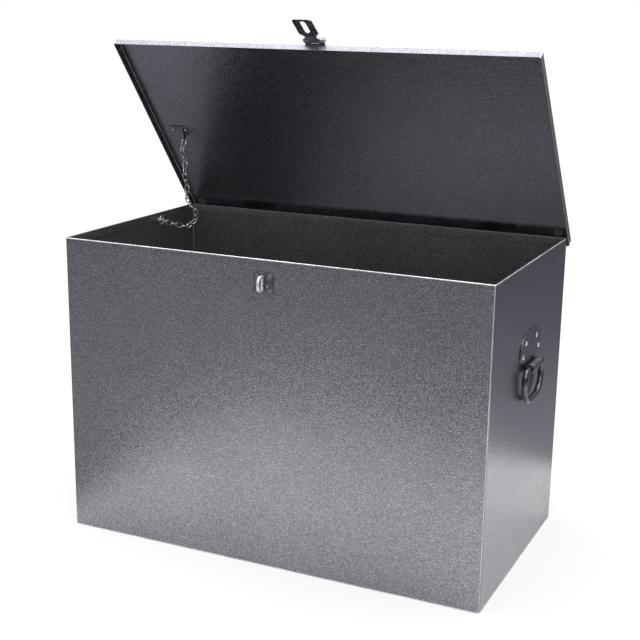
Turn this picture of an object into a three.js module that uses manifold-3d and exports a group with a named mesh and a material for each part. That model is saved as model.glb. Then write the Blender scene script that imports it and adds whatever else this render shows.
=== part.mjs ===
// A jobsite storage box of folded sheet steel, in millimetres, +Z up.
// The origin is the middle of the underside, -Y is the front and +X the right-hand end.
// The lid stands part-open on two rear hinges, with its hasp thrown up and its stay chain slack.
import * as THREE from 'three';
import { mergeVertices } from 'three/addons/utils/BufferGeometryUtils.js';
import Module from 'manifold-3d';

const wasm = await Module();
wasm.setup();

// Case and sheet
const caseLength = 806;
const caseDepth = 447;
const caseHeight = 557;
const sheet = 1.2;
const seat = 0.3; // paint film left between two pieces that rest on each other
const cornerRadius = 5;
const hemGap = 0.8;
const hemDepth = 15.5;
const rearReturn = 22;
const floorFlange = 20;
const foldRadius = 2;
const overrun = 4; // how far a cutting tool passes the face it cuts

// Lid
const lidFlange = 15.5;
const lidSideClearance = 1.8;
const lidFrontClearance = 1.8;
const lidLift = 0.6; // underside of the closed lid above the rim
const lidCornerRadius = 3;
const lidOpenAngle = 51.5;

// Blanking plugs in the lid's rear corners
const plugSkirtRadius = 8.6;
const plugSkirtWall = 1.8;
const plugSkirtDepth = 1.2;
const plugBead = 0.5;
const plugRimRadius = 10.5;
const plugRimHeight = 1.4;
const plugFromSide = 23;
const plugFromRear = 19.5;
const plugPlay = 0.25;

// Lid hinges
const hingeFromSide = 143; // middle of a hinge to the end of the case
const hingeLength = 76;
const hingeKnuckles = 5;
const hingeKnuckleRadius = 2.75;
const hingeLeafSheet = 1.2;
const hingePinRadius = 1.4;
const hingeBodyLeafHeight = 28;
const hingeAxisBelowRim = 22;
const hingeRivetSpacing = 50;
const hingeBodyRivetDrop = 18;
const hingeLidRivetRise = 14.5;
const hingePinHeadRadius = 2.6;
const hingePinHeadLength = 1;
const knuckleGap = 0.4;
const pinPlay = 0.15;

// Hasp
const haspX = 2.5; // the hasp sits a little to the right of the middle
const haspAxisRise = 2.5; // pin above the lid's top face
const haspKnuckleRadius = 5;
const haspLength = 65.5; // pin to the arm's tip
const haspWidth = 36.5;
const haspSheet = 1.8;
const haspNeckWidth = 22;
const haspFlareLength = 7.5;
const haspNeckStart = 13.5;
const haspNeckEnd = 18;
const haspBodyStart = 25;
const haspTipChamfer = 4.5;
const haspSlotWidth = 11;
const haspSlotLength = 33;
const haspTipWeb = 4.7;
const haspArmKnuckle = 17;
const haspBaseWidth = 38;
const haspBaseDepth = 26;
const haspPinRadius = 2.2;
const haspFaceClearance = 1.2; // knuckle to the lid's front face
const haspRivetSpacing = 24;
const haspRivetSetback = 17;
const haspThrowAngle = 75;
const haspPinHeadRadius = 3.6;
const haspPinHeadLength = 1.2;

// Staple on the front of the case
const stapleX = 0.5;
const stapleBelowPin = 44.5; // middle of the arm's slot below the hasp's pin
const staplePlateWidth = 37;
const staplePlateHeight = 37;
const staplePlateSheet = 2;
const staplePlateCorner = 3;
const stapleBarRadius = 2.8;
const stapleOuterHeight = 29;
const stapleReach = 21;
const stapleBend = 8.5;
const staplePeenRadius = 4.2;
const staplePeenLength = 1.5;
const staplePlay = 0.2;
const stapleRivetSpacingX = 25;
const stapleRivetSpacingZ = 25;

// Drop handles, one on each end
const handleCentreHeight = 371; // height of the bail's pivot line
const handlePlateWidth = 126;
const handlePlateHeight = 64; // pivot line to the top of the dome
const handlePlateSheet = 1.6;
const handleShoulder = 18; // pivot line to the plate's lower corners
const handleNeck = 8; // pivot line to where the lower edges meet the tongue
const handleSideHeight = 12;
const handlePlateCorner = 5;
const handleDomeFullness = 2.8; // exponent of the dome's curve; 2 would be a plain ellipse
const handleBarrelRadius = 8.5;
const handleBarrelLength = 58;
const handleBarRadius = 5.5;
const handleBarPlay = 0.4;
const handleBailWidth = 104; // between the middles of the bail's two arms
const handleBailDrop = 58;
const handleTopBend = 11;
const handleLowBend = 32;
const handlePinDepth = 14;
const handleUpperRivetSpacing = 66;
const handleUpperRivetRise = 46;
const handleLowerRivetSpacing = 96;
const handleLowerRivetRise = 24;

// Rivets
const smallShank = 1.6;
const smallHead = 3.2;
const smallHeadHeight = 1.1;
const smallTail = 2.6;
const smallTailHeight = 0.9;
const largeShank = 2.4;
const largeHead = 4.8;
const largeHeadHeight = 1.8;
const largeTail = 3.8;
const largeTailHeight = 1.2;
const rivetPlay = 0.15;

// Stay chain between the lid and the left wall
const wireRadius = 1.1;
const linkWidth = 12;
const linkLength = 17.7;
const linkBite = 0.15; // how deep the two links of one pair are pressed together
const linkPlay = 0.6;
const endRingWireRadius = 1.2;
const endRingInnerRadius = 7;
const chainEarFromRear = 209.8; // chain's first pivot to the lid's rear edge
const chainEarFromSide = 54; // chain's first pivot to the end of the case
const chainPivotDrop = 8; // first pivot below the lid's underside
// Link pairs at rest: direction in degrees from +Y towards +Z, and travel towards the wall along X
const chainAngles = [-115, -56, -95, -63, -90, -50, -21, -67, -149, -197, -199, -199];
const chainDrifts = [-1, -1, -1, -1, -1, -2, -3, -4, -8, -13, -8, 0];

// Chain fixings
const earSheet = 2;
const earTipRadius = 4.6;
const bracketLength = 38;
const bracketDepth = 16;
const bracketSheet = 1.6;
const bracketSetback = 18; // pivot to the middle of the bracket's base
const bracketRivetSpacing = 28;
const bracketShiftX = -9;
const studRingFromSide = 11; // middle of the end ring to the end of the case
const studBelowRim = 14;
const studFromRear = 139.5;
const studRadius = 1.5;
const studHeadRadius = 4.2;
const studHeadLength = 1.6;
const studGripRadius = 2.4;
const studCollarRadius = 5;
const studCollarLength = 1.5;
const studHeadFromRing = 2.6;
const studOuterHeadRadius = 6;
const studOuterHeadLength = 1;

// Roundness of the facets
const bendSteps = 3;
const wideBendSteps = 5;
const foldSteps = 4;
const panSteps = 3;
const smallSides = 8;
const knuckleSides = 10;
const barrelSides = 16;
const domeSteps = 20;
const linkSides = 6;
const linkSteps = 8;
const endRingSteps = 12;

const quarterTurn = Math.PI / 2;
const halfTurn = Math.PI;
const radians = (degrees) => (degrees * Math.PI) / 180;

// Places that several pieces share, all in the closed lid's position
const foldOuter = hemGap / 2 + sheet;
const hemThickness = foldOuter * 2;
const backFace = caseDepth / 2 - sheet - seat; // outer face of the back panel
const hingeY = backFace + seat + hingeKnuckleRadius;
const hingeZ = caseHeight - hingeAxisBelowRim;
const lidRear = hingeY + hingeKnuckleRadius - hingeLeafSheet - seat;
const lidFront = -caseDepth / 2 - lidFrontClearance - sheet;
const lidHalfLength = caseLength / 2 + lidSideClearance + sheet;
const lidUnder = caseHeight + lidLift;
const lidTop = lidUnder + sheet;
const lidLip = lidTop - lidFlange;
const hingeSpacing = caseLength - hingeFromSide * 2;
const haspLidFace = haspFaceClearance + haspKnuckleRadius; // lid's front face behind the hasp's pin
const haspCentre = [haspX, lidFront - haspLidFace, lidTop + haspAxisRise];
const stapleCentre = [stapleX, -caseDepth / 2, lidTop + haspAxisRise - stapleBelowPin];
const stapleLegZ = stapleOuterHeight / 2 - stapleBarRadius;
const handleCentre = [caseLength / 2, 0, handleCentreHeight];
const handleAxisX = seat + handleBarrelRadius; // pivot line out from the end wall
const chainPivot = [
  chainEarFromSide - caseLength / 2,
  lidRear - chainEarFromRear,
  lidUnder - chainPivotDrop,
];
const studCentre = [
  studRingFromSide - caseLength / 2,
  caseDepth / 2 - studFromRear,
  caseHeight - studBelowRim,
];
const sides = { left: -1, right: 1 };
const ends = [-1, 1];

// Solids: every piece is kept as one closed geometry, and joins and cuts pass through Manifold.
function toSolid(geometry) {
  const bare = geometry.clone();
  bare.deleteAttribute('normal');
  bare.deleteAttribute('uv');
  const merged = mergeVertices(bare);
  const index = merged.index.array;
  const kept = [];
  for (let i = 0; i < index.length; i += 3) {
    const [a, b, c] = [index[i], index[i + 1], index[i + 2]];
    if (a !== b && b !== c && c !== a) kept.push(a, b, c);
  }
  const vertProperties = new Float32Array(merged.attributes.position.array);
  const solid = new wasm.Manifold(
    new wasm.Mesh({ numProp: 3, vertProperties, triVerts: new Uint32Array(kept) })
  );
  if (solid.volume() > 0) return solid;
  const flipped = [];
  for (let i = 0; i < kept.length; i += 3) flipped.push(kept[i], kept[i + 2], kept[i + 1]);
  return new wasm.Manifold(
    new wasm.Mesh({ numProp: 3, vertProperties, triVerts: new Uint32Array(flipped) })
  );
}

function toGeometry(solid) {
  const mesh = solid.getMesh();
  const geometry = new THREE.BufferGeometry();
  geometry.setAttribute('position', new THREE.BufferAttribute(mesh.vertProperties, 3));
  geometry.setIndex(new THREE.BufferAttribute(mesh.triVerts, 1));
  geometry.computeVertexNormals();
  return geometry;
}

// The same closed geometry with its faces outward
function outward(geometry) {
  return toGeometry(toSolid(geometry));
}

function join(...geometries) {
  return toGeometry(geometries.map(toSolid).reduce((all, next) => all.add(next)));
}

function cut(geometry, ...tools) {
  return toGeometry(tools.map(toSolid).reduce((left, tool) => left.subtract(tool), toSolid(geometry)));
}

// Placing helpers
function block(x0, x1, y0, y1, z0, z1) {
  const box = new THREE.BoxGeometry(x1 - x0, y1 - y0, z1 - z0);
  return box.translate((x0 + x1) / 2, (y0 + y1) / 2, (z0 + z1) / 2);
}

// Turns from +Y, along which round pieces are drawn, to the way that they point
const ways = {
  x: new THREE.Euler(0, 0, -quarterTurn),
  y: new THREE.Euler(0, 0, 0),
  z: new THREE.Euler(quarterTurn, 0, 0),
  '-y': new THREE.Euler(halfTurn, 0, 0),
};

// Turns a plate drawn flat as [y, z] to stand across the X axis
const standing = new THREE.Matrix4().makeBasis(
  new THREE.Vector3(0, 1, 0),
  new THREE.Vector3(0, 0, 1),
  new THREE.Vector3(1, 0, 0)
);

function rod(way, radius, from, to, centre = [0, 0, 0], sidesRound = knuckleSides) {
  const cylinder = new THREE.CylinderGeometry(radius, radius, to - from, sidesRound);
  cylinder.translate(0, (from + to) / 2, 0);
  return cylinder.applyMatrix4(new THREE.Matrix4().makeRotationFromEuler(ways[way])).translate(...centre);
}

// A body of revolution about Y: its profile is [radius, height] pairs from its top down, axis to axis
function turned(profile, sidesRound = smallSides) {
  const points = profile.map(([radius, height]) => new THREE.Vector2(radius, height)).reverse();
  return new THREE.LatheGeometry(points, sidesRound);
}

// Plan outlines: a run of straight walls with rounded left-hand corners, each station with its normal
function plan(points, radius, closed) {
  const stations = [];
  const count = points.length;
  const heading = (a, b) => new THREE.Vector2().subVectors(b, a).normalize();
  const corners = points.map(([x, y]) => new THREE.Vector2(x, y));
  for (let i = 0; i < count; i += 1) {
    const here = corners[i];
    const open = !closed && (i === 0 || i === count - 1);
    if (open) {
      const way = i === 0 ? heading(here, corners[1]) : heading(corners[i - 1], here);
      stations.push({ x: here.x, y: here.y, nx: way.y, ny: -way.x });
      continue;
    }
    const before = heading(corners[(i + count - 1) % count], here);
    const after = heading(here, corners[(i + 1) % count]);
    const centre = here.clone().addScaledVector(before, -radius).addScaledVector(after, radius);
    for (let step = 0; step <= bendSteps; step += 1) {
      const turn = (quarterTurn * step) / bendSteps;
      const nx = before.y * Math.cos(turn) + before.x * Math.sin(turn);
      const ny = -before.x * Math.cos(turn) + before.y * Math.sin(turn);
      stations.push({ x: centre.x + nx * radius, y: centre.y + ny * radius, nx, ny });
    }
  }
  return stations;
}

function ring(stations, inset, z) {
  return stations.map(({ x, y, nx, ny }) => [x - nx * inset, y - ny * inset, z]);
}

// A closed skin over rings of equal length, with its first and last rings filled in
function fromRings(rings, capFaces) {
  const size = rings[0].length;
  const index = [];
  for (let r = 0; r + 1 < rings.length; r += 1) {
    for (let i = 0; i < size; i += 1) {
      const j = (i + 1) % size;
      const [a, b] = [r * size + i, r * size + j];
      index.push(a, b, b + size, a, b + size, a + size);
    }
  }
  const last = (rings.length - 1) * size;
  for (const [a, b, c] of capFaces) index.push(a, c, b, last + a, last + b, last + c);
  const geometry = new THREE.BufferGeometry();
  geometry.setAttribute('position', new THREE.Float32BufferAttribute(rings.flat(2), 3));
  geometry.setIndex(index);
  return outward(geometry);
}

// Triangles that fill an outline and run round it the same way as the outline does
function triangulated(outline) {
  const points = outline.map(([u, v]) => new THREE.Vector2(u, v));
  const faces = THREE.ShapeUtils.triangulateShape(points, []);
  return THREE.ShapeUtils.isClockWise(points) ? faces.map(([a, b, c]) => [a, c, b]) : faces;
}

// A sheet section [inset, height] carried along an open plan
function folded(stations, section) {
  const rings = stations.map((station) => section.map(([inset, z]) => ring([station], inset, z)[0]));
  return fromRings(rings, triangulated(section));
}

// A pan: rings [inset, height] from the middle of one face, round the lip, to the middle of the other
function pan(stations, rims) {
  const rings = rims.map(([inset, z]) => ring(stations, inset, z));
  return fromRings(rings, triangulated(rings[0]));
}

// An arc of [u, v] points round a centre, from one angle to another
function arc(u, v, radius, from, to, steps) {
  const points = [];
  for (let step = 0; step <= steps; step += 1) {
    const angle = from + ((to - from) * step) / steps;
    points.push([u + radius * Math.cos(angle), v + radius * Math.sin(angle)]);
  }
  return points;
}

// A flat plate from its outline, and from the outlines of its holes
function flatPlate(outline, thickness, holes = []) {
  const toPoints = (points) => points.map(([u, v]) => new THREE.Vector2(u, v));
  const shape = new THREE.Shape(toPoints(outline));
  for (const hole of holes) shape.holes.push(new THREE.Path(toPoints(hole)));
  return new THREE.ExtrudeGeometry(shape, { depth: thickness, bevelEnabled: false });
}

function hemSection(top) {
  const foldZ = top - foldOuter;
  return [
    [0, top - hemDepth],
    ...arc(foldOuter, foldZ, foldOuter, halfTurn, 0, foldSteps),
    [hemThickness, top - hemDepth],
    [hemThickness - sheet, top - hemDepth],
    ...arc(foldOuter, foldZ, hemGap / 2, 0, halfTurn, foldSteps),
    [sheet, top - hemDepth],
  ];
}

function wallSection(top) {
  return [[0, 0], [0, top], [sheet, top], [sheet, 0]];
}

function panRims(outerZ, lipZ) {
  const up = Math.sign(outerZ - lipZ);
  const bend = foldRadius;
  const corner = (radius, from, to) =>
    arc(bend, 0, radius, from, to, panSteps).map(([inset, z]) => [inset, outerZ - up * (bend - z)]);
  return [
    ...corner(bend, quarterTurn, halfTurn),
    [0, lipZ],
    [sheet, lipZ],
    ...corner(bend - sheet, halfTurn, quarterTurn),
  ];
}

// Materials
const paint = { color: 0x6f6f76, roughness: 0.42, metalness: 0.55 };
const darkSteel = { color: 0x2f3338, roughness: 0.38, metalness: 0.8 };
const zinc = { color: 0xc2c6c8, roughness: 0.3, metalness: 0.9 };
const plugPlastic = { color: 0x26272a, roughness: 0.55, metalness: 0 };

function piece(group, name, geometry, finish, at = [0, 0, 0], way = 'y') {
  const mesh = new THREE.Mesh(geometry, new THREE.MeshStandardMaterial(finish));
  mesh.name = name;
  mesh.position.set(...at);
  mesh.rotation.copy(ways[way]);
  group.add(mesh);
  return mesh;
}

function groupAt(parent, at) {
  const group = new THREE.Group();
  group.position.set(...at);
  parent.add(group);
  return group;
}

// Fastening places, about a fitting's own centre: where a head sits, the way it faces and the stack it grips
const small = {
  shank: smallShank,
  head: smallHead,
  rise: smallHeadHeight,
  tail: smallTail,
  tailRise: smallTailHeight,
};
const large = {
  shank: largeShank,
  head: largeHead,
  rise: largeHeadHeight,
  tail: largeTail,
  tailRise: largeTailHeight,
};
const headCrownShare = 0.6;
const headEdgeShare = 0.82;

function rivet({ size, grip }) {
  const foot = -grip - seat;
  return turned([
    [0, seat + size.rise],
    [size.head * headCrownShare, seat + size.rise * headEdgeShare],
    [size.head, seat],
    [size.shank, seat],
    [size.shank, foot],
    [size.tail, foot],
    [size.tail, foot - size.tailRise],
    [0, foot - size.tailRise],
  ]);
}

function drills(spots, centre = [0, 0, 0]) {
  return spots.map(({ size, grip, way, at }) =>
    rod(way, size.shank + rivetPlay, -grip - overrun, overrun, at, smallSides).translate(...centre)
  );
}

function stapleSpots() {
  const spots = [];
  for (const right of ends)
    for (const up of ends)
      spots.push({
        size: small,
        grip: staplePlateSheet + seat + sheet,
        way: '-y',
        at: [
          (right * stapleRivetSpacingX) / 2,
          -seat - staplePlateSheet,
          (up * stapleRivetSpacingZ) / 2,
        ],
      });
  return spots;
}

function handleSpots() {
  const spots = [];
  const rows = [
    [handleLowerRivetSpacing, handleLowerRivetRise],
    [handleUpperRivetSpacing, handleUpperRivetRise],
  ];
  for (const [spacing, rise] of rows)
    for (const rear of ends)
      spots.push({
        size: large,
        grip: handlePlateSheet + seat + sheet,
        way: 'x',
        at: [seat + handlePlateSheet, (rear * spacing) / 2, rise],
      });
  return spots;
}

function hingeSpots(forLid) {
  const [y, z] = forLid
    ? [hingeKnuckleRadius, hingeLidRivetRise]
    : [hingeLeafSheet - hingeKnuckleRadius, -hingeBodyRivetDrop];
  return ends.map((end) => ({
    size: small,
    grip: hingeLeafSheet + seat + sheet,
    way: 'y',
    at: [(end * hingeRivetSpacing) / 2, y, z],
  }));
}

function haspSpots() {
  return ends.map((end) => ({
    size: large,
    grip: haspSheet + seat + sheet,
    way: 'z',
    at: [
      (end * haspRivetSpacing) / 2,
      haspLidFace + haspRivetSetback,
      seat + haspSheet - haspAxisRise,
    ],
  }));
}

function bracketSpots() {
  return ends.map((end) => ({
    size: small,
    grip: bracketSheet + seat + sheet,
    way: 'z',
    at: [
      bracketShiftX + (end * bracketRivetSpacing) / 2,
      -bracketSetback,
      chainPivotDrop + sheet,
    ],
  }));
}

// Holes for the staple's two legs
function legHoles(centre = [0, 0, 0]) {
  const depth = staplePlateSheet + seat + overrun;
  return ends.map((up) =>
    rod('y', stapleBarRadius + staplePlay, -depth, depth, [0, 0, up * stapleLegZ]).translate(...centre)
  );
}

const hingeCentre = (side) => [(side * hingeSpacing) / 2, hingeY, hingeZ];
const hingeDrills = (forLid) =>
  Object.values(sides).flatMap((side) => drills(hingeSpots(forLid), hingeCentre(side)));

// The left-hand handle is the right-hand one turned half round
const handleTurn = (side) => (side > 0 ? 0 : halfTurn);

// Case
function caseShell() {
  const [right, rear] = [caseLength / 2, caseDepth / 2];
  const wallPlan = plan(
    [
      [-right + rearReturn, rear],
      [-right, rear],
      [-right, -rear],
      [right, -rear],
      [right, rear],
      [right - rearReturn, rear],
    ],
    cornerRadius,
    false
  );
  const hemEnd = backFace - hemThickness - seat;
  const hemPlan = plan(
    [[-right, hemEnd], [-right, -rear], [right, -rear], [right, hemEnd]],
    cornerRadius,
    false
  );
  const shell = join(
    folded(wallPlan, wallSection(caseHeight - foldOuter)),
    folded(hemPlan, hemSection(caseHeight))
  );
  const handleDrills = Object.values(sides).flatMap((side) =>
    drills(handleSpots(), handleCentre).map((drill) => drill.rotateZ(handleTurn(side)))
  );
  const studDepth = hemThickness + overrun;
  const studHole = rod('x', studGripRadius + rivetPlay, -studDepth, studDepth, [
    -right,
    studCentre[1],
    studCentre[2],
  ]);
  return cut(
    shell,
    ...drills(stapleSpots(), stapleCentre),
    ...legHoles(stapleCentre),
    ...handleDrills,
    studHole
  );
}

function backPanel() {
  const edge = caseLength / 2 - cornerRadius - seat;
  const stations = plan([[edge, backFace], [-edge, backFace]], cornerRadius, false);
  const sheetWithHem = join(
    folded(stations, wallSection(caseHeight - foldOuter)),
    folded(stations, hemSection(caseHeight))
  );
  return cut(sheetWithHem, ...hingeDrills(false));
}

function floorPan() {
  const lap = sheet + seat;
  const [right, front, rear] = [caseLength / 2 - lap, -caseDepth / 2 + lap, backFace - lap];
  const stations = plan(
    [[-right, rear], [-right, front], [right, front], [right, rear]],
    cornerRadius - lap,
    true
  );
  return pan(stations, panRims(0, floorFlange));
}

// Lid
const plugPlace = (side) => [side * (lidHalfLength - plugFromSide), lidRear - plugFromRear, lidTop];

function lidPan() {
  const stations = plan(
    [
      [-lidHalfLength, lidRear],
      [-lidHalfLength, lidFront],
      [lidHalfLength, lidFront],
      [lidHalfLength, lidRear],
    ],
    lidCornerRadius,
    true
  );
  const plugHoles = Object.values(sides).map((side) =>
    rod('z', plugSkirtRadius + plugPlay, -overrun, overrun, plugPlace(side))
  );
  return cut(
    pan(stations, panRims(lidTop, lidLip)),
    ...hingeDrills(true),
    ...drills(haspSpots(), haspCentre),
    ...drills(bracketSpots(), chainPivot),
    ...plugHoles
  );
}

function lidPlug() {
  const bore = plugSkirtRadius - plugSkirtWall;
  const roof = -sheet;
  const foot = roof - plugSkirtDepth;
  return turned(
    [
      [0, seat + plugRimHeight],
      [plugRimRadius * headCrownShare, seat + plugRimHeight],
      [plugRimRadius, seat],
      [plugSkirtRadius, seat],
      [plugSkirtRadius, roof - seat],
      [plugSkirtRadius + plugBead, roof - seat - plugBead],
      [plugSkirtRadius, foot],
      [bore, foot],
      [bore, roof],
      [0, roof],
    ],
    knuckleSides
  );
}

// Hinges: knuckles share the length evenly, and even ones belong to the lid
function knuckleSpan(number) {
  const pitch = hingeLength / hingeKnuckles;
  const start = number * pitch - hingeLength / 2;
  return [start, start + pitch];
}

function hingeLeaf(forLid) {
  const half = hingeLength / 2;
  const outer = hingeKnuckleRadius;
  const plate = forLid
    ? block(-half, half, outer - hingeLeafSheet, outer, 0, lidTop - foldRadius - hingeZ)
    : block(-half, half, -outer, hingeLeafSheet - outer, -hingeBodyLeafHeight, 0);
  const knuckles = [];
  const reliefs = [];
  for (let number = 0; number < hingeKnuckles; number += 1) {
    const [from, to] = knuckleSpan(number);
    const lidOwns = number % 2 === 1;
    if (lidOwns === forLid) knuckles.push(rod('x', outer, from, to));
    else reliefs.push(rod('x', outer + knuckleGap, from - knuckleGap, to + knuckleGap));
  }
  const bore = rod('x', hingePinRadius + pinPlay, -half - overrun, half + overrun);
  return cut(join(plate, ...knuckles), ...reliefs, bore, ...drills(hingeSpots(forLid)));
}

function pin(radius, halfLength, headRadius, headLength) {
  const reach = halfLength + seat;
  return turned(
    [
      [0, reach + headLength],
      [headRadius, reach + headLength],
      [headRadius, reach],
      [radius, reach],
      [radius, -reach],
      [headRadius, -reach],
      [headRadius, -reach - headLength],
      [0, -reach - headLength],
    ],
    knuckleSides
  );
}

// Hasp, drawn about its pin
function haspBase() {
  const half = haspBaseWidth / 2;
  const low = seat - haspAxisRise;
  const inner = haspArmKnuckle / 2 + knuckleGap;
  const parts = [block(-half, half, haspLidFace, haspLidFace + haspBaseDepth, low, low + haspSheet)];
  for (const side of ends) {
    const [from, to] = side > 0 ? [inner, half] : [-half, -inner];
    parts.push(rod('x', haspKnuckleRadius, from, to));
    parts.push(block(from, to, 0, haspLidFace + haspSheet, low, low + haspSheet));
  }
  const bore = rod('x', haspPinRadius + pinPlay, -half - overrun, half + overrun);
  return cut(join(...parts), bore, ...drills(haspSpots()));
}

function haspOutline() {
  const [wide, neck, tip] = [haspWidth / 2, haspNeckWidth / 2, haspLength];
  const outline = [
    [wide, haspKnuckleRadius + knuckleGap],
    [wide, haspFlareLength],
    [neck, haspNeckStart],
    [neck, haspNeckEnd],
    [wide, haspBodyStart],
    [wide, tip - haspTipChamfer],
    [wide - haspTipChamfer, tip],
  ];
  const mirrored = outline.map(([x, d]) => [-x, d]).reverse();
  return [...outline, ...mirrored];
}

function roundSlot(halfWidth, from, to) {
  return [
    ...arc(0, from + halfWidth, halfWidth, halfTurn, halfTurn * 2, foldSteps),
    ...arc(0, to - halfWidth, halfWidth, 0, halfTurn, foldSteps),
  ];
}

// The arm is drawn hanging over the staple, x across and depth down from the pin
function haspArm() {
  const slotEnd = haspLength - haspTipWeb;
  const plate = flatPlate(
    haspOutline().map(([x, d]) => [x, -d]),
    haspSheet,
    [roundSlot(haspSlotWidth / 2, -slotEnd, haspSlotLength - slotEnd)]
  );
  plate.rotateX(quarterTurn).translate(0, haspKnuckleRadius, 0);
  const half = haspArmKnuckle / 2;
  const inner = haspKnuckleRadius - haspSheet;
  const tongue = block(-half, half, inner, haspKnuckleRadius, -haspFlareLength, 0);
  const knuckle = rod('x', haspKnuckleRadius, -half, half);
  const bore = rod('x', haspPinRadius + pinPlay, -half - overrun, half + overrun);
  return cut(join(plate, tongue, knuckle), bore);
}

// Staple, drawn about its middle on the outer face of the front wall
function roundedOutline(width, height, corner) {
  const [w, h] = [width / 2 - corner, height / 2 - corner];
  const quarter = (u, v, from) => arc(u, v, corner, from, from + quarterTurn, bendSteps);
  return [
    ...quarter(w, h, 0),
    ...quarter(-w, h, quarterTurn),
    ...quarter(-w, -h, halfTurn),
    ...quarter(w, -h, -quarterTurn),
  ];
}

function staplePlate() {
  const outline = roundedOutline(staplePlateWidth, staplePlateHeight, staplePlateCorner);
  const plate = flatPlate(outline, staplePlateSheet).rotateX(quarterTurn).translate(0, -seat, 0);
  return cut(plate, ...legHoles(), ...drills(stapleSpots()));
}

// A path of straight stretches and quarter bends, kept as stations with their directions
class BentPath extends THREE.Curve {
  constructor(points, bends) {
    super();
    const corners = points.map((point) => new THREE.Vector3(...point));
    const heading = (a, b) => b.clone().sub(a).normalize();
    const last = corners.length - 1;
    this.stations = [{ at: corners[0], way: heading(corners[0], corners[1]) }];
    bends.forEach(([radius, steps], number) => {
      const corner = corners[number + 1];
      const into = heading(corners[number], corner);
      const on = heading(corner, corners[number + 2]);
      const centre = corner.clone().addScaledVector(on, radius).addScaledVector(into, -radius);
      for (const [u, v] of arc(0, 0, 1, -quarterTurn, 0, steps)) {
        const at = centre.clone().addScaledVector(into, u * radius).addScaledVector(on, v * radius);
        const way = into.clone().multiplyScalar(-v).addScaledVector(on, u);
        this.stations.push({ at, way });
      }
    });
    this.stations.push({ at: corners[last], way: heading(corners[last - 1], corners[last]) });
  }

  station(share) {
    return this.stations[Math.round(share * (this.stations.length - 1))];
  }

  getPointAt(share, target = new THREE.Vector3()) {
    return target.copy(this.station(share).at);
  }

  getTangentAt(share, target = new THREE.Vector3()) {
    return target.copy(this.station(share).way);
  }
}

// A round bar along such a path
function bar(path, radius, sidesRound) {
  const circle = arc(0, 0, radius, 0, halfTurn * 2, sidesRound).slice(1);
  const geometry = new THREE.ExtrudeGeometry(
    new THREE.Shape(circle.map(([u, v]) => new THREE.Vector2(u, v))),
    { extrudePath: path, steps: path.stations.length - 1, bevelEnabled: false }
  );
  return outward(geometry);
}

// Closed to a ring by a bar that rests on the plate
function stapleLoop() {
  const inside = sheet + seat;
  const rootBar = -seat - staplePlateSheet - seat - stapleBarRadius;
  const outside = stapleBarRadius - seat - staplePlateSheet - stapleReach;
  const bend = [stapleBend, bendSteps];
  const path = new BentPath(
    [
      [0, inside, -stapleLegZ],
      [0, outside, -stapleLegZ],
      [0, outside, stapleLegZ],
      [0, inside, stapleLegZ],
    ],
    [bend, bend]
  );
  const peens = ends.map((up) =>
    rod('y', staplePeenRadius, 0, staplePeenLength, [0, inside, up * stapleLegZ], smallSides)
  );
  const root = rod('z', stapleBarRadius, -stapleLegZ, stapleLegZ, [0, rootBar, 0], smallSides);
  return join(bar(path, stapleBarRadius, smallSides), root, ...peens);
}

// Right-hand handle, drawn about the middle of its pivot line on the outer face of the wall
function dome(half, spring, rise) {
  return arc(0, 0, 1, 0, halfTurn, domeSteps).map(([u, v]) => [
    half * Math.sign(u) * Math.abs(u) ** (2 / handleDomeFullness),
    spring + rise * v ** (2 / handleDomeFullness),
  ]);
}

function handleOutline() {
  const [half, barrel, corner] = [handlePlateWidth / 2, handleBarrelLength / 2, handlePlateCorner];
  const spring = handleShoulder + handleSideHeight;
  const low = handleShoulder + corner;
  return [
    [-barrel, 0],
    [barrel, 0],
    [barrel, handleNeck],
    ...arc(half - corner, low, corner, -quarterTurn, 0, bendSteps),
    ...dome(half, spring, handlePlateHeight - spring),
    ...arc(corner - half, low, corner, halfTurn, halfTurn + quarterTurn, bendSteps),
    [-barrel, handleNeck],
  ];
}

function handlePlate() {
  const plate = flatPlate(handleOutline(), handlePlateSheet).applyMatrix4(standing).translate(seat, 0, 0);
  const half = handleBarrelLength / 2;
  const centre = [handleAxisX, 0, 0];
  const barrel = rod('y', handleBarrelRadius, -half, half, centre, barrelSides);
  const hole = handleBarRadius + handleBarPlay;
  const bore = rod('y', hole, -half - overrun, half + overrun, centre, barrelSides);
  return cut(join(plate, barrel), bore, ...drills(handleSpots()));
}

function handleBail() {
  const arm = handleBailWidth / 2;
  const inner = handleBarrelLength / 2 - handlePinDepth;
  const low = -handleBailDrop;
  const corners = [[-inner, 0], [-arm, 0], [-arm, low], [arm, low], [arm, 0], [inner, 0]];
  const [tight, wide] = [[handleTopBend, bendSteps], [handleLowBend, wideBendSteps]];
  const path = new BentPath(
    corners.map(([y, z]) => [handleAxisX, y, z]),
    [tight, wide, wide, tight]
  );
  return bar(path, handleBarRadius, knuckleSides);
}

// Stay chain
function loop(centreRadius, wire, length, steps) {
  const ringShape = new THREE.TorusGeometry(centreRadius, wire, linkSides, steps);
  ringShape.rotateZ(halfTurn / steps);
  const stretch = (length - (centreRadius + wire) * 2) / 2;
  const place = ringShape.attributes.position;
  for (let i = 0; i < place.count; i += 1) {
    const x = place.getX(i);
    place.setX(i, x + Math.sign(x) * stretch);
  }
  return ringShape;
}

const linkRadius = linkWidth / 2 - wireRadius;
const linkStep = linkLength - wireRadius * 2; // between the middles of a link's two end bends
const secondLinkAt = linkStep - wireRadius * 2 + linkBite + linkStep / 2;
const pairLength = secondLinkAt + linkStep / 2 - wireRadius * 2 - linkPlay;
const endRingAt = linkStep - wireRadius + linkBite + endRingInnerRadius;
const chainPairs = chainAngles.length;

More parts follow.
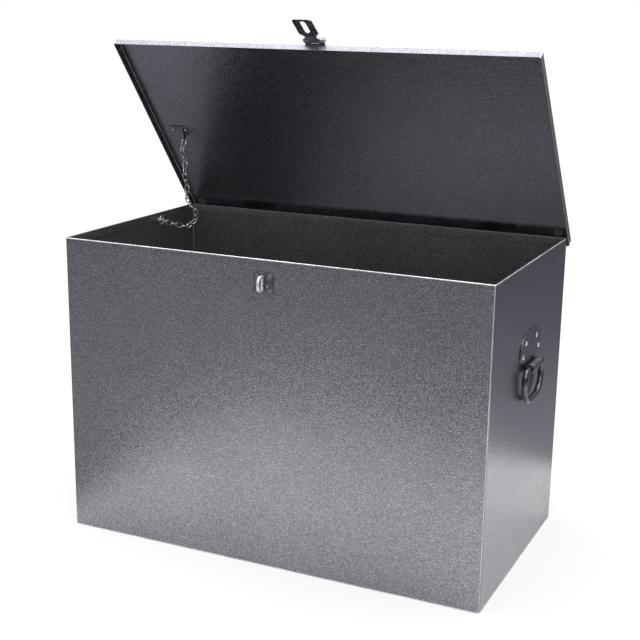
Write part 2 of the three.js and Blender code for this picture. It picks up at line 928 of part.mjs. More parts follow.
function pairDirection(number) {
  const isLast = number === chainPairs - 1;
  const length = isLast ? endRingAt : pairLength;
  const drift = chainDrifts[number];
  const flat = Math.sqrt(length * length - drift * drift);
  const angle = radians(chainAngles[number]);
  return new THREE.Vector3(drift, flat * Math.cos(angle), flat * Math.sin(angle));
}

// One pair, drawn along X from its pivot: a flat link, and a link or the end ring across it
function linkPair(isLast) {
  const first = loop(linkRadius, wireRadius, linkLength, linkSteps).translate(linkStep / 2, 0, 0);
  const ringRadius = endRingInnerRadius + endRingWireRadius;
  const second = isLast
    ? loop(ringRadius, endRingWireRadius, (ringRadius + endRingWireRadius) * 2, endRingSteps)
    : loop(linkRadius, wireRadius, linkLength, linkSteps);
  return join(first, second.rotateX(quarterTurn).translate(isLast ? endRingAt : secondLinkAt, 0, 0));
}

// Hangs each pair on the one before it, from the ear on the lid
function addChain(group, start) {
  const pivot = start.clone();
  for (let number = 0; number < chainPairs; number += 1) {
    const step = pairDirection(number);
    const along = step.clone().normalize();
    const across = new THREE.Vector3(1, 0, 0);
    across.addScaledVector(along, -across.dot(along)).normalize();
    const up = new THREE.Vector3().crossVectors(along, across);
    const name = `chain_links_${String(number + 1).padStart(2, '0')}`;
    const pair = piece(group, name, linkPair(number === chainPairs - 1), zinc, pivot.toArray());
    pair.setRotationFromMatrix(new THREE.Matrix4().makeBasis(along, across, up));
    pivot.add(step);
  }
}

// Bracket on the lid, drawn about the chain's first pivot
function chainBracket() {
  const top = chainPivotDrop - seat;
  const low = top - bracketSheet;
  const half = bracketLength / 2;
  const [near, far] = [-bracketSetback - bracketDepth / 2, bracketDepth / 2 - bracketSetback];
  const base = block(bracketShiftX - half, bracketShiftX + half, near, far, low, top);
  const ear = [
    [near, top],
    [near, low],
    ...arc(0, 0, earTipRadius, -quarterTurn, quarterTurn, foldSteps),
    [far, top],
  ];
  const earPlate = flatPlate(ear, earSheet).applyMatrix4(standing).translate(-earSheet / 2, 0, 0);
  const eye = rod('x', wireRadius + linkPlay, -overrun, overrun, [0, 0, 0], smallSides);
  return cut(join(base, earPlate), eye, ...drills(bracketSpots()));
}

// Stud through the left wall, drawn about the middle of the end ring
function chainStud() {
  const wallOuter = -studRingFromSide;
  const hemInner = wallOuter + hemThickness;
  return turned(
    [
      [0, studHeadFromRing + studHeadLength],
      [studHeadRadius, studHeadFromRing + studHeadLength],
      [studHeadRadius, studHeadFromRing],
      [studRadius, studHeadFromRing],
      [studRadius, hemInner + seat + studCollarLength],
      [studCollarRadius, hemInner + seat + studCollarLength],
      [studCollarRadius, hemInner + seat],
      [studGripRadius, hemInner + seat],
      [studGripRadius, wallOuter - seat],
      [studOuterHeadRadius, wallOuter - seat],
      [studOuterHeadRadius * headCrownShare, wallOuter - seat - studOuterHeadLength],
      [0, wallOuter - seat - studOuterHeadLength],
    ],
    knuckleSides
  );
}

// The whole box
function rivets(group, prefix, spots, finish, [x, y, z] = [0, 0, 0]) {
  spots.forEach((spot, number) => {
    const at = [spot.at[0] + x, spot.at[1] + y, spot.at[2] + z];
    piece(group, `${prefix}_${number + 1}`, rivet(spot), finish, at, spot.way);
  });
}

const box = new THREE.Group();
piece(box, 'case_shell', caseShell(), paint);
piece(box, 'back_panel', backPanel(), paint);
piece(box, 'floor_pan', floorPan(), paint);

// The lid turns about the hinge line, and what it carries is placed as if it were shut
const lidTurn = groupAt(box, [0, hingeY, hingeZ]);
lidTurn.rotation.x = -radians(lidOpenAngle);
const lid = groupAt(lidTurn, [0, -hingeY, -hingeZ]);
piece(lid, 'lid_pan', lidPan(), paint);

for (const [name, side] of Object.entries(sides)) {
  piece(lid, `lid_plug_${name}`, lidPlug(), plugPlastic, plugPlace(side), 'z');

  const hinge = `hinge_${name}`;
  const centre = hingeCentre(side);
  const hingePin = pin(hingePinRadius, hingeLength / 2, hingePinHeadRadius, hingePinHeadLength);
  piece(box, `${hinge}_body_leaf`, hingeLeaf(false), paint, centre);
  piece(lid, `${hinge}_lid_leaf`, hingeLeaf(true), paint, centre);
  piece(box, `${hinge}_pin`, hingePin, zinc, centre, 'x');
  rivets(box, `${hinge}_body_rivet`, hingeSpots(false), paint, centre);
  rivets(lid, `${hinge}_lid_rivet`, hingeSpots(true), paint, centre);

  const end = groupAt(box, [0, 0, 0]);
  end.rotation.z = handleTurn(side);
  const handle = groupAt(end, handleCentre);
  piece(handle, `handle_${name}_plate`, handlePlate(), darkSteel);
  piece(handle, `handle_${name}_bail`, handleBail(), darkSteel);
  rivets(handle, `handle_${name}_rivet`, handleSpots(), zinc);
}

const hasp = groupAt(lid, haspCentre);
const haspPin = pin(haspPinRadius, haspBaseWidth / 2, haspPinHeadRadius, haspPinHeadLength);
piece(hasp, 'hasp_base', haspBase(), darkSteel);
piece(hasp, 'hasp_pin', haspPin, zinc, [0, 0, 0], 'x');
rivets(hasp, 'hasp_rivet', haspSpots(), darkSteel);
piece(hasp, 'hasp_arm', haspArm(), darkSteel).rotation.x = -radians(haspThrowAngle);

const staple = groupAt(box, stapleCentre);
piece(staple, 'staple_plate', staplePlate(), darkSteel);
piece(staple, 'staple_loop', stapleLoop(), zinc);
rivets(staple, 'staple_rivet', stapleSpots(), darkSteel);

const bracket = groupAt(lid, chainPivot);
piece(bracket, 'chain_bracket', chainBracket(), darkSteel);
rivets(bracket, 'chain_bracket_rivet', bracketSpots(), zinc);
piece(box, 'chain_stud', chainStud(), zinc, studCentre, 'x');
box.updateMatrixWorld();
addChain(box, lid.localToWorld(new THREE.Vector3(...chainPivot)));

export default box;
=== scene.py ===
"""Looks of the jobsite storage box on its frame: hammertone enamel, plated fittings and a white studio."""
import math

import bpy
from mathutils import Matrix, Vector

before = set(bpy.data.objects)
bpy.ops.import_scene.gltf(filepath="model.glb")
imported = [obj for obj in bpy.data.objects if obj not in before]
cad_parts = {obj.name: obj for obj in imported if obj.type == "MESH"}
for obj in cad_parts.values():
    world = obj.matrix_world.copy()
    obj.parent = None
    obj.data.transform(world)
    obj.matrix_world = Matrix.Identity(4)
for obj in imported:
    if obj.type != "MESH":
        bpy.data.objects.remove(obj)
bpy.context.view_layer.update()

MM = 0.001
WHITE = (1.0, 1.0, 1.0, 1.0)
MIDDLE = (0.5, 0.5, 0.5)

# Steel sheet and outer bounds of the folded pieces when shut, as in the frame
STEEL = 1.2 * MM
CASE_HALF_LENGTH = 403 * MM
CASE_HALF_DEPTH = 223.5 * MM
CASE_HEIGHT = 557 * MM
BACK_PANEL_REAR = 222 * MM
LID_HALF_LENGTH = 406 * MM
LID_FRONT = -226.5 * MM
LID_REAR = 226.3 * MM
LID_LOW = 530 * MM
LID_TOP = 558.8 * MM
HINGE = (0, 225.05 * MM, 535 * MM)
LID_OPEN = 51.5
CASE_LOW_CORNER = (-CASE_HALF_LENGTH, -CASE_HALF_DEPTH, 0)
CASE_BOX = (CASE_LOW_CORNER, (CASE_HALF_LENGTH, CASE_HALF_DEPTH, CASE_HEIGHT))
BACK_BOX = (CASE_LOW_CORNER, (CASE_HALF_LENGTH, BACK_PANEL_REAR, CASE_HEIGHT))
LID_BOX = ((-LID_HALF_LENGTH, LID_FRONT, LID_LOW), (LID_HALF_LENGTH, LID_REAR, LID_TOP))

# Camera, in metres and degrees, with its focal length for a picture of this many pixels across
CAMERA_PLACE = (0.9227, -1.9892, 0.9720)
CAMERA_AZIMUTH = 24.8198
CAMERA_ELEVATION = 14.5957
CAMERA_ROLL = 0.8275
FOCAL_PIXELS = 1216.67
PICTURE_PIXELS = 640
SENSOR = 36

# White paper on the studio floor, in metres, and its whiteness, with a dip between two fades along X that is
# painted shade
FLOOR_HALF = 14
PAPER_LEFT = -0.48
PAPER_RIGHT = 1.75
PAPER_FRONT = -0.98
PAPER_REAR = 0.5
PAPER_SOFTNESS = 0.06
PAPER_WHITE = 0.92
PAPER_DIP = 0.79
PAPER_DIP_START = (-0.4, 0.2)
PAPER_DIP_END = (0.45, 0.8)

# Darker floor around the paper: its tone in front and behind, and how much dimmer it is at the front right
FAR_FRONT = (0.45, 0.445, 0.465, 1.0)
FAR_REAR = (0.15, 0.152, 0.185, 1.0)
FAR_REACH = 1.6
FRONT_RIGHT = 0.75
FRONT_RIGHT_ACROSS = (-0.5, 0.1)
FRONT_RIGHT_ALONG = (-1.0, -0.6)

# Painted shadow: a dark strip of floor behind the case, which the foot of the lid mirrors
SHADE = (0.03, 0.03, 0.034, 1.0)
SHADE_START = (0.1, 0.2)
SHADE_END = (0.4, 0.6)
SHADE_RIGHT = (0.36, 0.42)

# What the camera sees of the floor: a white glow, and near the case a share of the matte floor and its shadow
FLOOR_GLOW = 1.04
SHADOW_SHARE = 0.3
SHADOW_FADE = (0.6, 1.25)

# Room: its level for matte surfaces, and for mirrors by the height of the direction
ROOM_TINT = (0.97, 0.975, 1.04, 1.0)
ROOM_DIFFUSE = 0.5
ROOM_HEIGHTS = (0.05, 0.8)
ROOM_MIRRORED = (0.3, 1.0)

# Softboxes: place, target, size in metres and power in watts
SOFTBOXES = {
    "key": {"place": (0.1, -0.05, 2.6), "target": (0.1, 0.0, 0.3), "size": (3.8, 2.3), "power": 92},
    "fill": {"place": (2.4, -2.2, 1.6), "target": (0.1, 0.0, 0.3), "size": (1.6, 1.6), "power": 22},
}

# Mesh finish
SMOOTH_LIMIT = 50
WIRE_SMOOTH_LIMIT = 75
EDGE_ROUNDING = 0.35 * MM
FOLD_ROUNDING = 0.55 * MM
ROUNDING_SEGMENTS = 2
WELD_REACH = 0.01 * MM

# Noises: detail and roughness
FINE_NOISE = (3.0, 0.7)
BROAD_NOISE = (3.0, 0.55)
SMUDGE_NOISE = (4.0, 0.6)
GRAIN_NOISE = (3.0, 0.6)
DUST_NOISE = (3.0, 0.5)
SPREAD = (0.3, 0.7)

# Hammertone cells: their wobble, the domes between the veins, and the tone and height that they give
CELL = 3.5 * MM
CELL_DEPTH = 0.15 * MM
FITTING_CELL = 2 * MM
FITTING_CELL_DEPTH = 0.08 * MM
WOBBLE_CELLS = 2
WOBBLE_DETAIL = 1.0
WOBBLE_REACH = 0.9
DOME_EDGE = 0.42
DOME_FULL = 0.6
CONTRAST = 0.42
DOME_LIFT = 0.1
FLAKE_SWING = 0.25
FINE_SWING = 0.15
FINE_CELLS = 0.4
FINE_HEIGHT = 0.35

# Enamel over large areas: tone, smudges and coat
BROAD_SIZE = 0.28
BROAD_SWING = 0.05
SMUDGE_SIZE = 0.05
SMUDGE_SPREAD = (0.35, 0.65)
SMUDGE_SMOOTHER = 0.02
SMUDGE_ROUGHER = 0.03
ENAMEL_COAT = {"Coat Weight": 0.25, "Coat Roughness": 0.15}

# Edges of the folded sheets and of the enamelled fittings, paled by a painted highlight and by rubbed paint
FOLD_HIGHLIGHT_AND_RUB_FADE = (1.3 * MM, 2.6 * MM)
FOLD_HIGHLIGHT_AND_RUB_PATCHES = (0.3, 0.6)
FOLD_HIGHLIGHT_AND_RUB_LEAST = 0.55
EDGE_HIGHLIGHT_AND_RUB_SHARE = 0.8
EDGE_HIGHLIGHT_AND_RUB_METALLIC = 0.45
EDGE_HIGHLIGHT_AND_RUB_COLOUR = (0.9, 0.9, 0.92, 1.0)

# Edges of the fittings, paled by a painted highlight and by wear to bare metal, told by how far a rounded
# normal leans from the true one
HIGHLIGHT_AND_WEAR_RADIUS = 1.1 * MM
HIGHLIGHT_AND_WEAR_AGREEMENT = (0.985, 0.8)
HIGHLIGHT_AND_WEAR_PATCHES = (0.35, 0.6)
HIGHLIGHT_AND_WEAR_LEAST = 0.35
TRACE_SAMPLES = 4
HIGHLIGHT_AND_BARE_COLOUR = (0.72, 0.72, 0.74, 1.0)

# Plated and blackened steel, with painted shade darkening its crevices
METAL_GRAIN = 0.9 * MM
METAL_DEPTH = 0.03 * MM
METAL_CREVICE = 6 * MM
BLOTCH_GRAINS = 12
STAIN_DARKER = 0.5
STAIN_PALER = 0.3
GRAIN_SWING = 0.12
CREVICE_SHADE_FADE = (0.3, 0.92)
CREVICE_SHADE_SHARE = 0.85
CREVICE_SHADE_COLOUR = (0.02, 0.02, 0.023, 1.0)
METAL_SMOOTHER = 0.05
METAL_ROUGHER = 0.08
METAL_COAT_ROUGHNESS = 0.12

# Satin plastic with a little dust
PLASTIC_GRAIN = 0.7 * MM
PLASTIC_DEPTH = 0.05 * MM
PLASTIC_COLOUR = (0.1, 0.1, 0.102, 1.0)
PLASTIC_ROUGHNESS = (0.42, 0.6)
DUST_SIZE = 9 * MM
DUST_PATCHES = (0.45, 0.7)
DUST_SHARE = 0.3
DUST_COLOUR = (0.24, 0.24, 0.24, 1.0)

# Enamels: colour, and the metallic, roughness and tone of a face. The lower tones of the inner faces and of
# the floor pan are painted shade.
ENAMEL_COLOUR = (0.36, 0.354, 0.374, 1.0)
# The lid's bluer colour is a painted reflection tint of the room it mirrors
LID_COLOUR = (0.352, 0.352, 0.388, 1.0)
CASE_OUTER = (0.94, 0.22, 1.03)
CASE_INNER = (0.8, 0.4, 0.78)
LID_OUTER = (0.75, 0.45, 0.85)
LID_INNER = (0.94, 0.21, 0.84)
# Floor pan: its low tone is painted shade
FLOOR_FACE = (0.7, 0.42, 0.45)
FITTING_FACE = (0.9, 0.28, 0.85)

METALS = {
    "gun_metal": {
        "base": (0.2, 0.21, 0.235, 1.0), "metallic": 0.85, "roughness": 0.27, "coat": 0.5, "crevice": 3 * MM,
    },
    "dark_plate": {
        "base": (0.2, 0.2, 0.212, 1.0), "metallic": 0.95, "roughness": 0.24, "stain": 0.8, "highlight_and_rub": 0.8,
    },
    "bar_steel": {
        "base": (0.115, 0.12, 0.13, 1.0), "metallic": 1.0, "roughness": 0.15, "stain": 0.6, "highlight_and_rub": 0.2,
    },
    "zinc_plate": {
        "base": (0.8, 0.8, 0.81, 1.0), "metallic": 0.7, "roughness": 0.26, "stain": 0.3, "crevice": 3 * MM,
    },
    "chain_steel": {
        "base": (0.72, 0.73, 0.75, 1.0), "metallic": 0.85, "roughness": 0.22, "crevice": 2.5 * MM,
    },
}


class Graph:
    """A material's or world's nodes, made and linked in one call each."""

    def __init__(self, tree):
        self.tree = tree
        tree.nodes.clear()

    def add(self, kind, inputs=None, **settings):
        node = self.tree.nodes.new(kind)
        for name, value in settings.items():
            setattr(node, name, value)
        for key, value in (inputs or {}).items():
            self.put(node.inputs[key], value)
        return node

    def put(self, socket, value):
        if isinstance(value, bpy.types.NodeSocket):
            self.tree.links.new(value, socket)
        else:
            socket.default_value = value

    def math(self, operation, a, b):
        return self.add("ShaderNodeMath", {0: a, 1: b}, operation=operation).outputs[0]

    def vector(self, operation, a, b):
        return self.add("ShaderNodeVectorMath", {0: a, 1: b}, operation=operation).outputs[0]

    def range(self, value, low, high, to_low=0.0, to_high=1.0, smooth=True):
        kind = "SMOOTHSTEP" if smooth else "LINEAR"
        node = self.add(
            "ShaderNodeMapRange",
            {"Value": value, "From Min": low, "From Max": high, "To Min": to_low, "To Max": to_high},
            interpolation_type=kind,
        )
        return node.outputs["Result"]

    def choice(self, share, at_none, at_all):
        """Straight from one value to the other as the share grows from 0 to 1."""
        return self.range(share, 0.0, 1.0, at_none, at_all, smooth=False)

    def around_one(self, value, low, high, swing, smooth=True):
        return self.range(value, low, high, 1 - swing, 1 + swing, smooth)

    def mix(self, share, a, b, blend="MIX"):
        node = self.add("ShaderNodeMix", data_type="RGBA", blend_type=blend)
        self.put(node.inputs[0], share)
        self.put(node.inputs[6], a)
        self.put(node.inputs[7], b)
        return node.outputs[2]

    def product(self, first, *others):
        for other in others:
            first = self.math("MULTIPLY", first, other)
        return first

    def scaled(self, vector, factor):
        return self.add("ShaderNodeVectorMath", {0: vector, "Scale": factor}, operation="SCALE").outputs[0]

    def grey_of(self, value):
        return self.add("ShaderNodeCombineXYZ", {0: value, 1: value, 2: value}).outputs[0]

    def object_place(self):
        return self.add("ShaderNodeTexCoord").outputs["Object"]

    def turned_about_hinge(self, at, degrees):
        """Where a point of the open lid lies when the lid is shut by this many degrees."""
        if not degrees:
            return at
        return self.add(
            "ShaderNodeVectorRotate", {"Vector": at, "Center": HINGE, "Angle": math.radians(degrees)},
            rotation_type="X_AXIS",
        ).outputs[0]

    def noise(self, at, size, detail, roughness):
        """Noise whose features are about this size in metres."""
        node = self.add(
            "ShaderNodeTexNoise", {"Vector": at, "Scale": 1 / size, "Detail": detail, "Roughness": roughness}
        )
        return node.outputs["Fac"]

    def bump(self, height, depth):
        return self.add("ShaderNodeBump", {"Height": height, "Strength": 1.0, "Distance": depth}).outputs[0]

    def finish(self, sockets):
        shader = self.add("ShaderNodeBsdfPrincipled", sockets)
        self.add("ShaderNodeOutputMaterial", {"Surface": shader.outputs[0]})


def new_material(name):
    material = bpy.data.materials.new(name)
    material.use_nodes = True
    return material, Graph(material.node_tree)


def box_depths(g, at, low, high):
    """How deep a point lies in a box: the least of three depths, and the middle one, small only at edges."""
    parts = g.add("ShaderNodeSeparateXYZ", {0: at}).outputs
    a, b, c = (
        g.math("MINIMUM", g.math("SUBTRACT", part, start), g.math("SUBTRACT", end, part))
        for part, start, end in zip(parts, low, high)
    )
    least = g.math("MINIMUM", g.math("MINIMUM", a, b), c)
    middle = g.math("MAXIMUM", g.math("MINIMUM", a, b), g.math("MINIMUM", g.math("MAXIMUM", a, b), c))
    return least, middle


def highlit_and_worn_edges(g, patchiness):
    """1 on sharp edges, for a painted highlight and where rubbing thins the finish, broken up by noise."""
    rounded = g.add("ShaderNodeBevel", {"Radius": HIGHLIGHT_AND_WEAR_RADIUS}, samples=TRACE_SAMPLES).outputs[0]
    true = g.add("ShaderNodeNewGeometry").outputs["Normal"]
    agreement = g.add("ShaderNodeVectorMath", {0: rounded, 1: true}, operation="DOT_PRODUCT").outputs["Value"]
    patches = g.range(patchiness, *HIGHLIGHT_AND_WEAR_PATCHES, HIGHLIGHT_AND_WEAR_LEAST, 1.0)
    return g.math("MULTIPLY", g.range(agreement, *HIGHLIGHT_AND_WEAR_AGREEMENT), patches)


def hammered(g, at, cell):
    """Hammertone: a height of rounded cells between thin veins, and a tone that differs from cell to cell."""
    wobble = g.add(
        "ShaderNodeTexNoise", {"Vector": at, "Scale": 1 / (WOBBLE_CELLS * cell), "Detail": WOBBLE_DETAIL}
    ).outputs["Color"]
    shift = g.scaled(g.vector("SUBTRACT", wobble, MIDDLE), cell * WOBBLE_REACH)
    bent = g.vector("ADD", at, shift)
    veins = g.add("ShaderNodeTexVoronoi", {"Vector": bent, "Scale": 1 / cell}, feature="DISTANCE_TO_EDGE")
    flakes = g.add("ShaderNodeTexVoronoi", {"Vector": bent, "Scale": 1 / cell}, feature="F1")
    dome = g.range(veins.outputs["Distance"], 0.0, DOME_EDGE)
    flake = g.add("ShaderNodeSeparateColor", {"Color": flakes.outputs["Color"]}).outputs["Red"]
    return dome, flake


def hammertone(name, base, outer, inner=None, box=None, opened=0.0, cell=CELL, depth=CELL_DEPTH):
    """Grey hammertone enamel. Outer and inner are (metallic, roughness, tone) of a folded sheet's two faces.

    The box is the sheet's outer bounds when shut, by which its inner faces and its edges, paled by painted
    highlight and rubbing, are told.
    """
    material, g = new_material(name)
    at = g.object_place()
    dome, flake = hammered(g, at, cell)
    fine = g.noise(at, cell * FINE_CELLS, *FINE_NOISE)
    broad = g.noise(at, BROAD_SIZE, *BROAD_NOISE)
    smudge = g.noise(at, SMUDGE_SIZE, *SMUDGE_NOISE)
    tone = g.product(
        g.range(dome, 0.0, DOME_FULL, 1 - CONTRAST, 1 + CONTRAST * DOME_LIFT),
        g.around_one(flake, 0.0, 1.0, CONTRAST * FLAKE_SWING, smooth=False),
        g.around_one(fine, *SPREAD, CONTRAST * FINE_SWING),
        g.around_one(broad, *SPREAD, BROAD_SWING),
    )
    metallic, roughness, level = outer
    rough = g.range(smudge, *SMUDGE_SPREAD, roughness - SMUDGE_SMOOTHER, roughness + SMUDGE_ROUGHER)
    if box:
        shut = g.turned_about_hinge(at, opened)
        least, middle = box_depths(g, shut, *box)
        skin = g.math("LESS_THAN", least, STEEL / 2)
        inner_metallic, inner_roughness, inner_level = inner
        metallic = g.choice(skin, inner_metallic, metallic)
        rough = g.math("ADD", rough, g.choice(skin, inner_roughness - roughness, 0.0))
        # Painted shade: the inner faces take a lower tone than the outer ones
        tone = g.math("MULTIPLY", tone, g.choice(skin, inner_level, level))
        # Painted highlight with rubbed paint: a band along the sheet's edges, broken into patches
        patches = g.range(smudge, *FOLD_HIGHLIGHT_AND_RUB_PATCHES, FOLD_HIGHLIGHT_AND_RUB_LEAST, 1.0)
        highlit_and_rubbed = g.math("MULTIPLY", g.range(middle, *FOLD_HIGHLIGHT_AND_RUB_FADE, 1.0, 0.0), patches)
    else:
        highlit_and_rubbed = highlit_and_worn_edges(g, smudge)
    paint = g.mix(1.0, base, g.grey_of(tone), "MULTIPLY")
    # Edges turn towards a near-white, less metallic paint: painted highlight and rubbed paint
    highlit_and_rubbed = g.math("MULTIPLY", highlit_and_rubbed, EDGE_HIGHLIGHT_AND_RUB_SHARE)
    paint = g.mix(highlit_and_rubbed, paint, EDGE_HIGHLIGHT_AND_RUB_COLOUR)
    metallic = g.math("MINIMUM", metallic, g.choice(highlit_and_rubbed, 1.0, EDGE_HIGHLIGHT_AND_RUB_METALLIC))
    height = g.math("ADD", dome, g.math("MULTIPLY", fine, FINE_HEIGHT))
    normal = g.bump(height, depth)
    g.finish({"Base Color": paint, "Metallic": metallic, "Roughness": rough, "Normal": normal, **ENAMEL_COAT})
    return material


def metal(name, base, metallic, roughness, stain=0.5, highlight_and_rub=0.5, coat=0.0, crevice=METAL_CREVICE):
    """Plated or blackened steel: fine grain, blotchy tone, edges paled by painted highlight and wear, and
    painted shade darkening the crevices.
    """
    material, g = new_material(name)
    at = g.object_place()
    fine = g.noise(at, METAL_GRAIN, *GRAIN_NOISE)
    blotch = g.noise(at, METAL_GRAIN * BLOTCH_GRAINS, *SMUDGE_NOISE)
    stains = g.range(blotch, *SPREAD, 1 - stain * STAIN_DARKER, 1 + stain * STAIN_PALER)
    tone = g.product(stains, g.around_one(fine, *SPREAD, GRAIN_SWING))
    colour = g.mix(1.0, base, g.grey_of(tone), "MULTIPLY")
    # Painted shade: the colour darkens towards near-black wherever ambient occlusion finds a crevice
    hollow = g.add("ShaderNodeAmbientOcclusion", {"Distance": crevice}, samples=TRACE_SAMPLES).outputs["AO"]
    colour = g.mix(g.range(hollow, *CREVICE_SHADE_FADE, CREVICE_SHADE_SHARE, 0.0), colour, CREVICE_SHADE_COLOUR)
    # Painted highlight and wear: edges pale towards bare metal
    colour = g.mix(g.math("MULTIPLY", highlit_and_worn_edges(g, blotch), highlight_and_rub), colour, HIGHLIGHT_AND_BARE_COLOUR)
    rough = g.range(blotch, *SPREAD, roughness - METAL_SMOOTHER, roughness + METAL_ROUGHER)
    normal = g.bump(g.math("ADD", fine, blotch), METAL_DEPTH)
    coating = {"Coat Weight": coat, "Coat Roughness": METAL_COAT_ROUGHNESS}
    g.finish({"Base Color": colour, "Metallic": metallic, "Roughness": rough, "Normal": normal, **coating})
    return material


def moulded_plastic(name):
    material, g = new_material(name)
    at = g.object_place()
    fine = g.noise(at, PLASTIC_GRAIN, *GRAIN_NOISE)
    dust = g.noise(at, DUST_SIZE, *DUST_NOISE)
    colour = g.mix(g.range(dust, *DUST_PATCHES, 0.0, DUST_SHARE), PLASTIC_COLOUR, DUST_COLOUR)
    rough = g.range(dust, *SPREAD, *PLASTIC_ROUGHNESS)
    g.finish({"Base Color": colour, "Roughness": rough, "Normal": g.bump(fine, PLASTIC_DEPTH)})
    return material


# Shading of the frame's own nodes: smooth round bends, crisp folds, a hair of rounding on fittings
def smoothing_group(limit):
    group = bpy.data.node_groups.new(f"smooth_below_{limit}", "GeometryNodeTree")
    group.interface.new_socket("Geometry", in_out="INPUT", socket_type="NodeSocketGeometry")
    group.interface.new_socket("Geometry", in_out="OUTPUT", socket_type="NodeSocketGeometry")
    nodes, link = group.nodes, group.links.new
    source, result = nodes.new("NodeGroupInput"), nodes.new("NodeGroupOutput")
    faces, edges = nodes.new("GeometryNodeSetShadeSmooth"), nodes.new("GeometryNodeSetShadeSmooth")
    edges.domain = "EDGE"
    angle, compare = nodes.new("GeometryNodeInputMeshEdgeAngle"), nodes.new("FunctionNodeCompare")
    compare.operation = "LESS_THAN"
    compare.inputs["B"].default_value = math.radians(limit)
    link(source.outputs[0], faces.inputs["Geometry"])
    link(faces.outputs[0], edges.inputs["Geometry"])
    link(angle.outputs["Unsigned Angle"], compare.inputs["A"])
    link(compare.outputs["Result"], edges.inputs["Shade Smooth"])
    link(edges.outputs[0], result.inputs[0])
    return group


def dress(names, material, rounding=0.0, smoothing=None):
    """Gives the nodes of these names, whatever their number, a material, smooth shading and rounded edges."""
    for name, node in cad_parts.items():
        if name.rstrip("_0123456789") not in names:
            continue
        node.data.materials.clear()
        node.data.materials.append(material)
        node.modifiers.new("weld", "WELD").merge_threshold = WELD_REACH
        if rounding:
            bevel = node.modifiers.new("rounding", "BEVEL")
            bevel.width = rounding
            bevel.segments = ROUNDING_SEGMENTS
            bevel.limit_method = "ANGLE"
            bevel.angle_limit = math.radians(SMOOTH_LIMIT)
        node.modifiers.new("smoothing", "NODES").node_group = smoothing or smooth_folds
        if rounding:
            node.modifiers.new("flat_faces", "WEIGHTED_NORMAL").keep_sharp = True


smooth_folds = smoothing_group(SMOOTH_LIMIT)
smooth_wires = smoothing_group(WIRE_SMOOTH_LIMIT)
case_enamel = hammertone("case_enamel", ENAMEL_COLOUR, CASE_OUTER, CASE_INNER, CASE_BOX)
back_enamel = hammertone("back_enamel", ENAMEL_COLOUR, CASE_OUTER, CASE_INNER, BACK_BOX)
lid_enamel = hammertone("lid_enamel", LID_COLOUR, LID_OUTER, LID_INNER, LID_BOX, LID_OPEN)
floor_enamel = hammertone("floor_enamel", ENAMEL_COLOUR, FLOOR_FACE)
fitting_enamel = hammertone(
    "fitting_enamel", ENAMEL_COLOUR, FITTING_FACE, cell=FITTING_CELL, depth=FITTING_CELL_DEPTH
)
steel = {name: metal(name, **values) for name, values in METALS.items()}
plastic = moulded_plastic("satin_plastic")

dress(("case_shell",), case_enamel, FOLD_ROUNDING)
dress(("back_panel",), back_enamel, FOLD_ROUNDING)
dress(("lid_pan",), lid_enamel, FOLD_ROUNDING)
dress(("floor_pan",), floor_enamel)
for side in ("left", "right"):
    dress((f"hinge_{side}_body_leaf", f"hinge_{side}_lid_leaf"), fitting_enamel, EDGE_ROUNDING)
    dress((f"hinge_{side}_body_rivet", f"hinge_{side}_lid_rivet"), fitting_enamel)
    dress((f"handle_{side}_plate",), steel["dark_plate"], EDGE_ROUNDING)
    dress((f"handle_{side}_bail",), steel["bar_steel"])
    dress((f"hinge_{side}_pin", f"handle_{side}_rivet"), steel["zinc_plate"])
dress(("hasp_base", "hasp_arm"), steel["gun_metal"], EDGE_ROUNDING)
dress(("hasp_rivet",), steel["gun_metal"])
dress(("staple_plate", "chain_bracket"), steel["dark_plate"], EDGE_ROUNDING)
dress(("staple_rivet",), steel["dark_plate"])
dress(("hasp_pin", "staple_loop", "chain_stud", "chain_bracket_rivet"), steel["zinc_plate"])
dress(("chain_links",), steel["chain_steel"], smoothing=smooth_wires)
dress(("lid_plug_left", "lid_plug_right"), plastic)


# Studio
def look_at(place, target):
    direction = Vector(target) - Vector(place)
    return direction.to_track_quat("-Z", "Y").to_euler()


def add_camera():
    azimuth, elevation, roll = (math.radians(a) for a in (CAMERA_AZIMUTH, CAMERA_ELEVATION, CAMERA_ROLL))
    back = Vector((
        math.sin(azimuth) * math.cos(elevation),
        -math.cos(azimuth) * math.cos(elevation),
        math.sin(elevation),
    ))
    level = (-back).cross(Vector((0, 0, 1))).normalized()
    upright = level.cross(-back)
    right = math.cos(roll) * level + math.sin(roll) * upright
    up = -math.sin(roll) * level + math.cos(roll) * upright
    data = bpy.data.cameras.new("camera")
    data.sensor_width = SENSOR
    data.lens = FOCAL_PIXELS / PICTURE_PIXELS * SENSOR
    camera = bpy.data.objects.new("camera", data)
    camera.matrix_world = Matrix.Translation(CAMERA_PLACE) @ Matrix((right, up, back)).transposed().to_4x4()
    bpy.context.scene.collection.objects.link(camera)
    bpy.context.scene.camera = camera


def add_softbox(name, place, target, size, power):
    data = bpy.data.lights.new(name, "AREA")
    data.shape = "RECTANGLE"
    data.size, data.size_y = size
    data.energy = power
    light = bpy.data.objects.new(name, data)
    light.location = place
    light.rotation_euler = look_at(place, target)
    bpy.context.scene.collection.objects.link(light)


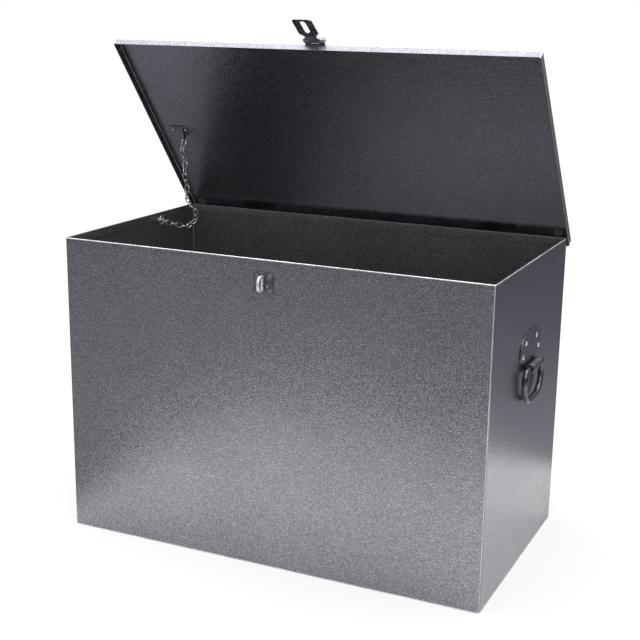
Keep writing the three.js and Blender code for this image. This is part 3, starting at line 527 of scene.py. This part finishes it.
def floor_material():
    """White everywhere to the camera, with the shadow kept; white paper on a darker floor to the object, with
    a painted shadow behind the case and painted shade on the paper.
    """
    material, g = new_material("studio_floor")
    at = g.object_place()
    x, y, _ = g.add("ShaderNodeSeparateXYZ", {0: at}).outputs
    inside = 1.0
    for value, low, high in ((x, PAPER_LEFT, PAPER_RIGHT), (y, PAPER_FRONT, PAPER_REAR)):
        after = g.range(value, low - PAPER_SOFTNESS, low + PAPER_SOFTNESS)
        before = g.range(value, high - PAPER_SOFTNESS, high + PAPER_SOFTNESS, 1.0, 0.0)
        inside = g.math("MULTIPLY", g.math("MULTIPLY", after, before), inside)
    seen = g.add("ShaderNodeLightPath").outputs["Is Camera Ray"]
    far = g.mix(g.range(y, -FAR_REACH, FAR_REACH, smooth=False), FAR_FRONT, FAR_REAR)
    # Painted shadow of the case on the floor behind it, where the paper is taken away
    behind_case = g.math("MULTIPLY", g.range(y, *SHADE_START), g.range(x, *SHADE_RIGHT, 1.0, 0.0))
    shaded = g.math("MULTIPLY", behind_case, g.range(y, *SHADE_END, 1.0, 0.0))
    far = g.mix(shaded, far, SHADE)
    inside = g.math("MULTIPLY", inside, g.math("SUBTRACT", 1.0, behind_case))
    across = g.range(x, *FRONT_RIGHT_ACROSS, 1.0, FRONT_RIGHT)
    along = g.range(y, *FRONT_RIGHT_ALONG, FRONT_RIGHT, 1.0)
    far = g.scaled(far, g.math("MAXIMUM", across, along))
    # Painted shade: the paper is less white in a band along X
    dip_start = g.range(x, *PAPER_DIP_START, PAPER_WHITE, PAPER_DIP)
    dip_end = g.range(x, *PAPER_DIP_END, PAPER_DIP, PAPER_WHITE)
    paper = g.grey_of(g.math("MAXIMUM", dip_start, dip_end))
    matte = g.add("ShaderNodeBsdfDiffuse", {"Color": g.mix(g.math("MAXIMUM", inside, seen), far, paper)})
    glow = g.add("ShaderNodeEmission", {"Color": WHITE, "Strength": FLOOR_GLOW})
    reach = g.add("ShaderNodeVectorMath", {0: at}, operation="LENGTH").outputs["Value"]
    lit = g.range(reach, *SHADOW_FADE, 1 - SHADOW_SHARE, 1.0)
    share = g.math("MULTIPLY", seen, lit)
    both = g.add("ShaderNodeMixShader", {0: share, 1: matte.outputs[0], 2: glow.outputs[0]})
    g.add("ShaderNodeOutputMaterial", {"Surface": both.outputs[0]})
    return material


def add_floor():
    mesh = bpy.data.meshes.new("studio_floor")
    signs = ((-1, -1), (1, -1), (1, 1), (-1, 1))
    mesh.from_pydata([(x * FLOOR_HALF, y * FLOOR_HALF, 0) for x, y in signs], [], [tuple(range(len(signs)))])
    floor = bpy.data.objects.new("studio_floor", mesh)
    mesh.materials.append(floor_material())
    bpy.context.scene.collection.objects.link(floor)


def add_room():
    """White to the camera; a dim room, paler overhead, to the object."""
    world = bpy.data.worlds.new("studio_room")
    bpy.context.scene.world = world
    world.use_nodes = True
    g = Graph(world.node_tree)
    path = g.add("ShaderNodeLightPath")
    up = g.add("ShaderNodeSeparateXYZ", {0: g.add("ShaderNodeTexCoord").outputs["Generated"]}).outputs["Z"]
    mirrored = g.range(up, *ROOM_HEIGHTS, *ROOM_MIRRORED)
    level = g.choice(path.outputs["Is Glossy Ray"], ROOM_DIFFUSE, mirrored)
    level = g.choice(path.outputs["Is Camera Ray"], level, 1.0)
    tint = g.mix(path.outputs["Is Camera Ray"], ROOM_TINT, WHITE)
    background = g.add("ShaderNodeBackground", {"Color": tint, "Strength": level})
    g.add("ShaderNodeOutputWorld", {"Surface": background.outputs[0]})


add_camera()
for name, values in SOFTBOXES.items():
    add_softbox(name, **values)
add_floor()
add_room()

bpy.context.scene.view_settings.view_transform = "Standard"
